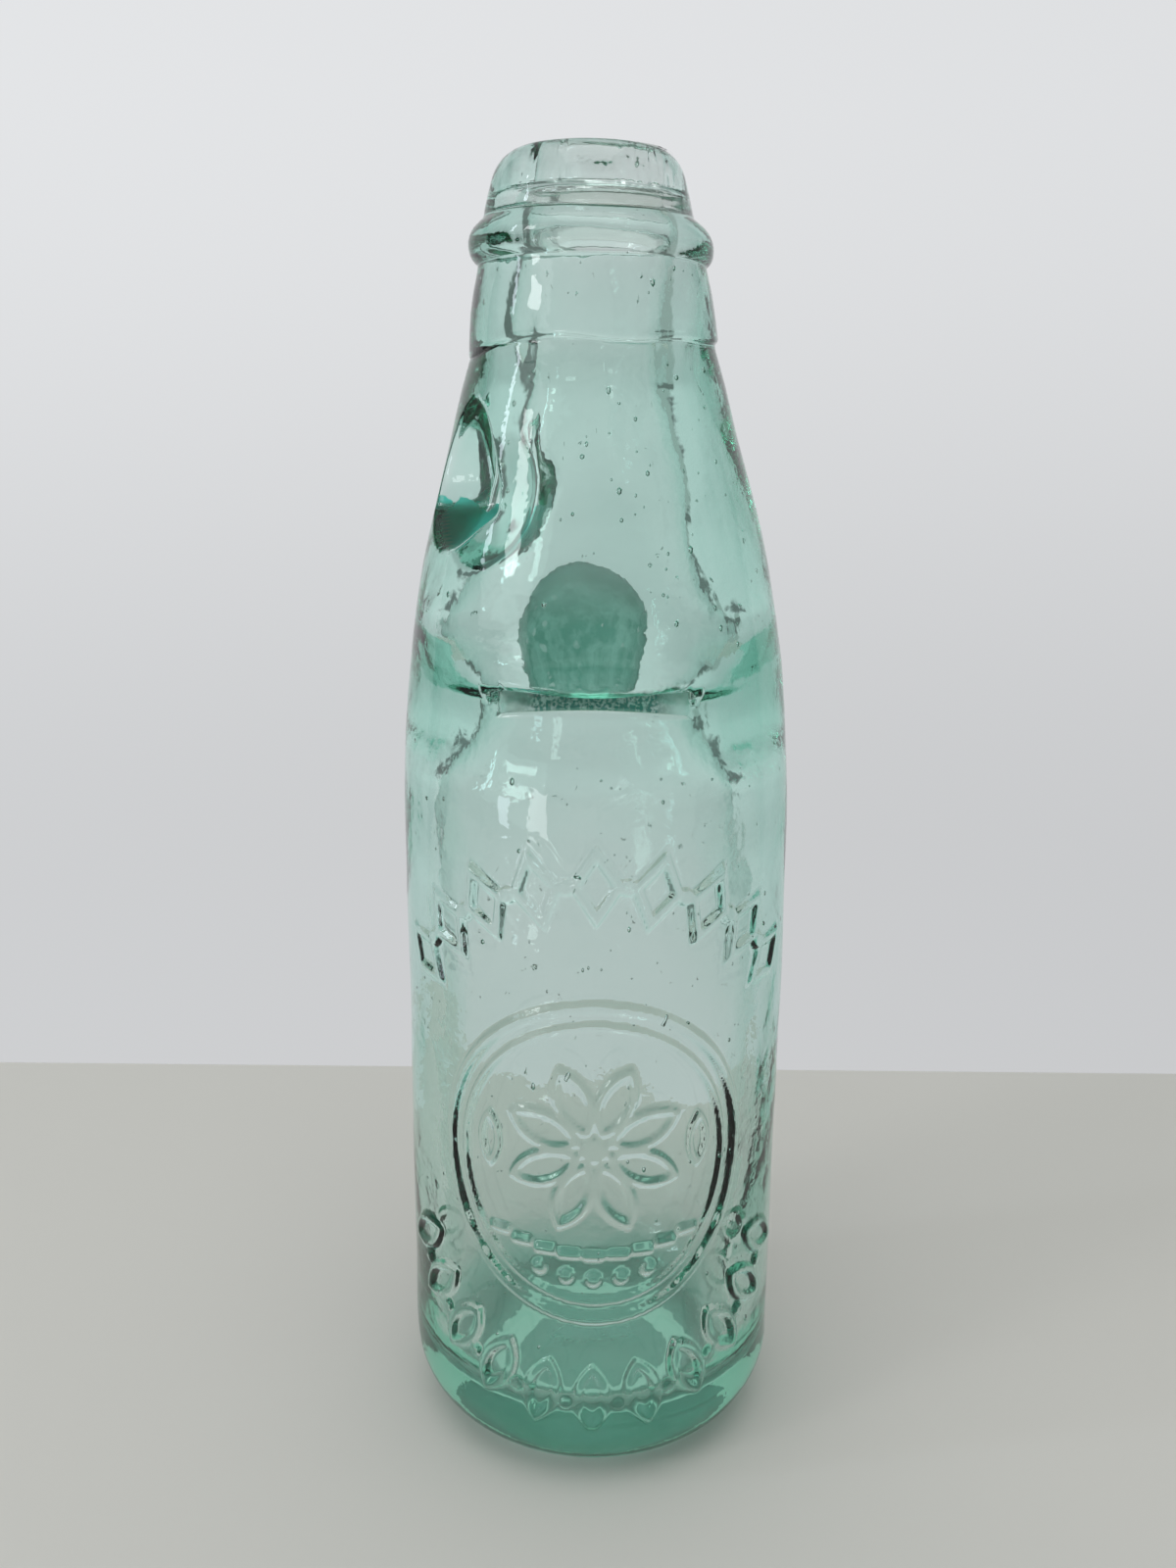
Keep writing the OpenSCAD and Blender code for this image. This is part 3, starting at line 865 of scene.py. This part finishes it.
def through_glass(m, level, r_in, r_out):
    """The soft light that reaches the table under the bottle through its glass."""
    nt = m.node_tree
    out = [n for n in nt.nodes if n.type == "OUTPUT_MATERIAL"][0]
    d = out.inputs["Surface"].links[0].from_node
    tc = nt.nodes.new("ShaderNodeTexCoord")
    ln = nt.nodes.new("ShaderNodeVectorMath")
    ln.operation = "LENGTH"
    nt.links.new(tc.outputs["Object"], ln.inputs[0])
    f = nt.nodes.new("ShaderNodeMapRange")
    f.interpolation_type = "SMOOTHSTEP"
    for k, v in zip(("From Min", "From Max", "To Min", "To Max"), (r_in * MM, r_out * MM, level, 0.0)):
        f.inputs[k].default_value = v
    nt.links.new(ln.outputs["Value"], f.inputs["Value"])
    e = nt.nodes.new("ShaderNodeEmission")
    e.inputs["Color"].default_value = (0.85, 1.0, 0.95, 1)
    nt.links.new(f.outputs["Result"], e.inputs["Strength"])
    a = nt.nodes.new("ShaderNodeAddShader")
    nt.links.new(d.outputs[0], a.inputs[0])
    nt.links.new(e.outputs[0], a.inputs[1])
    nt.links.new(a.outputs[0], out.inputs["Surface"])


through_glass(me.materials[0], 0.25, 17.0, 28.0)

# ------------------------------------------------------------------ light


def area(name, loc, target, sx, sy, radiance, col=(1, 1, 1)):
    d = bpy.data.lights.new(name, "AREA")
    d.shape = "RECTANGLE"
    d.size, d.size_y = sx, sy
    d.energy = radiance * math.pi * sx * sy
    d.color = col
    o = bpy.data.objects.new(name, d)
    o.location = loc
    o.rotation_euler = (Vector(target) - Vector(loc)).to_track_quat("-Z", "Y").to_euler()
    o.visible_camera = False
    scene.collection.objects.link(o)
    return o


def around(az, dist, z):
    t = math.radians(az)
    return (dist * math.sin(t), -dist * math.cos(t), z)


area("window_high", around(-57, 1.6, 0.80), (0, 0, 0.16), 0.28, 0.36, 7, (0.97, 0.985, 1.0))
area("window_side", around(-78, 1.6, 0.85), (0, 0, 0.16), 0.10, 0.60, 8, (0.80, 0.90, 1.0))
area("low_pane_a", around(-33, 0.42, 0.045), (0, 0, 0.105), 0.085, 0.060, 4, (0.97, 0.985, 1.0))
area("low_pane_b", around(-53, 0.42, 0.036), (0, 0, 0.105), 0.050, 0.040, 5, (0.80, 0.90, 1.0))
area("window_wide", around(-60, 1.7, 0.75), (0, 0, 0.14), 1.1, 1.0, 1.0, (0.96, 0.985, 1.0))
area("overhead", (0, -0.5, 1.5), (0, -0.1, 0), 1.1, 1.1, 1.0)

w = bpy.data.worlds.new("room")
w.use_nodes = True
nt = w.node_tree
bg = nt.nodes["Background"]
tc = nt.nodes.new("ShaderNodeTexCoord")
sep = nt.nodes.new("ShaderNodeSeparateXYZ")
nt.links.new(tc.outputs["Generated"], sep.inputs[0])


def map_range(src, a, b, c, d):
    n = nt.nodes.new("ShaderNodeMapRange")
    n.interpolation_type = "SMOOTHSTEP"
    for k, v in zip(("From Min", "From Max", "To Min", "To Max"), (a, b, c, d)):
        n.inputs[k].default_value = v
    nt.links.new(src, n.inputs["Value"])
    return n.outputs["Result"]


def math_node(op, *args):
    n = nt.nodes.new("ShaderNodeMath")
    n.operation = op
    for k, v in enumerate(args):
        if isinstance(v, float):
            n.inputs[k].default_value = v
        else:
            nt.links.new(v, n.inputs[k])
    return n.outputs[0]


def blend_node(t, a, b):
    return math_node("ADD", math_node("MULTIPLY", a, math_node("SUBTRACT", 1.0, t)), math_node("MULTIPLY", b, t))


# a pale wall behind, a dimmer room to the sides and the front, a ceiling
X, Y, Z = sep.outputs
flat = math_node("SQRT", math_node("ADD", math_node("MULTIPLY", X, X), math_node("ADD", math_node("MULTIPLY", Y, Y), 1e-4)))
toward = math_node("DIVIDE", Y, flat)
wall = math_node("MULTIPLY", map_range(Z, -0.30, 0.25, 0.610, 0.765), map_range(X, -0.6, 0.6, 1.03, 0.97))
room = map_range(math_node("MULTIPLY", toward, -1.0), 0.1, 0.9, 0.18, 0.42)
# paler on the right, low down and high up
right = map_range(X, -0.1, 0.1, 0.0, 1.0)
room = blend_node(math_node("MULTIPLY", right, map_range(Z, -0.06, 0.0, 1.0, 0.0)), room, math_node("ADD", 0.44, 0.0))
room = blend_node(math_node("MULTIPLY", right, map_range(Z, 0.165, 0.23, 0.0, 1.0)), room, math_node("ADD", 0.46, 0.0))
left_low = math_node("MULTIPLY", map_range(X, -0.1, 0.1, 1.0, 0.0), map_range(Z, -0.02, 0.04, 1.0, 0.0))
room = blend_node(math_node("MULTIPLY", left_low, map_range(toward, 0.22, 0.30, 1.0, 0.0)), room, math_node("ADD", 0.36, 0.0))
around_us = blend_node(map_range(toward, 0.40, 0.485, 0.0, 1.0), room, wall)
# dark corners high up on both sides of the pale wall
beam = math_node("MULTIPLY", map_range(toward, 0.40, 0.48, 0.0, 1.0), map_range(toward, 0.62, 0.71, 1.0, 0.0))
beam = math_node("MULTIPLY", beam, math_node("MULTIPLY", map_range(Z, 0.27, 0.36, 0.0, 1.0), map_range(Z, 0.56, 0.66, 1.0, 0.0)))
total = blend_node(map_range(Z, 0.42, 0.62, 0.0, 1.0), around_us, math_node("ADD", 0.55, 0.0))
total = math_node("MULTIPLY", total, math_node("SUBTRACT", 1.0, math_node("MULTIPLY", beam, 0.74)))
nt.links.new(total, bg.inputs["Strength"])
hue = nt.nodes.new("ShaderNodeMix")
hue.data_type = "RGBA"
hue.inputs["A"].default_value = (0.93, 1.0, 0.98, 1)
hue.inputs["B"].default_value = (0.985, 1.0, 1.02, 1)
nt.links.new(map_range(toward, 0.40, 0.485, 0.0, 1.0), hue.inputs["Factor"])
nt.links.new(hue.outputs["Result"], bg.inputs["Color"])
scene.world = w

# ------------------------------------------------------------------ camera
cam_d = bpy.data.cameras.new("camera")
cam = bpy.data.objects.new("camera", cam_d)
scene.collection.objects.link(cam)
cam_d.sensor_fit = "AUTO"
cam_d.sensor_width = 36.0
cam_d.lens = 1366.1 / 1600 * 36.0
cam_d.clip_start, cam_d.clip_end = 0.01, 20
pitch, roll = math.radians(13.883), math.radians(0.561)
fw = Vector((0, math.cos(pitch), -math.sin(pitch)))
rt = Vector((1, 0, 0))
up = rt.cross(fw)
rt2 = math.cos(roll) * rt + math.sin(roll) * up
up2 = -math.sin(roll) * rt + math.cos(roll) * up
M = Matrix((rt2, up2, -fw)).transposed().to_4x4()
M.translation = Vector((-1.54564, -222.19194, 169.51597)) * MM
cam.matrix_world = M
scene.camera = cam

scene.view_settings.view_transform = "Standard"
scene.view_settings.look = "None"
cy = scene.cycles
cy.max_bounces = 24
cy.transmission_bounces = 24
cy.glossy_bounces = 8
cy.diffuse_bounces = 4
cy.transparent_max_bounces = 16
cy.use_denoising = True
cy.sample_clamp_indirect = 6.0
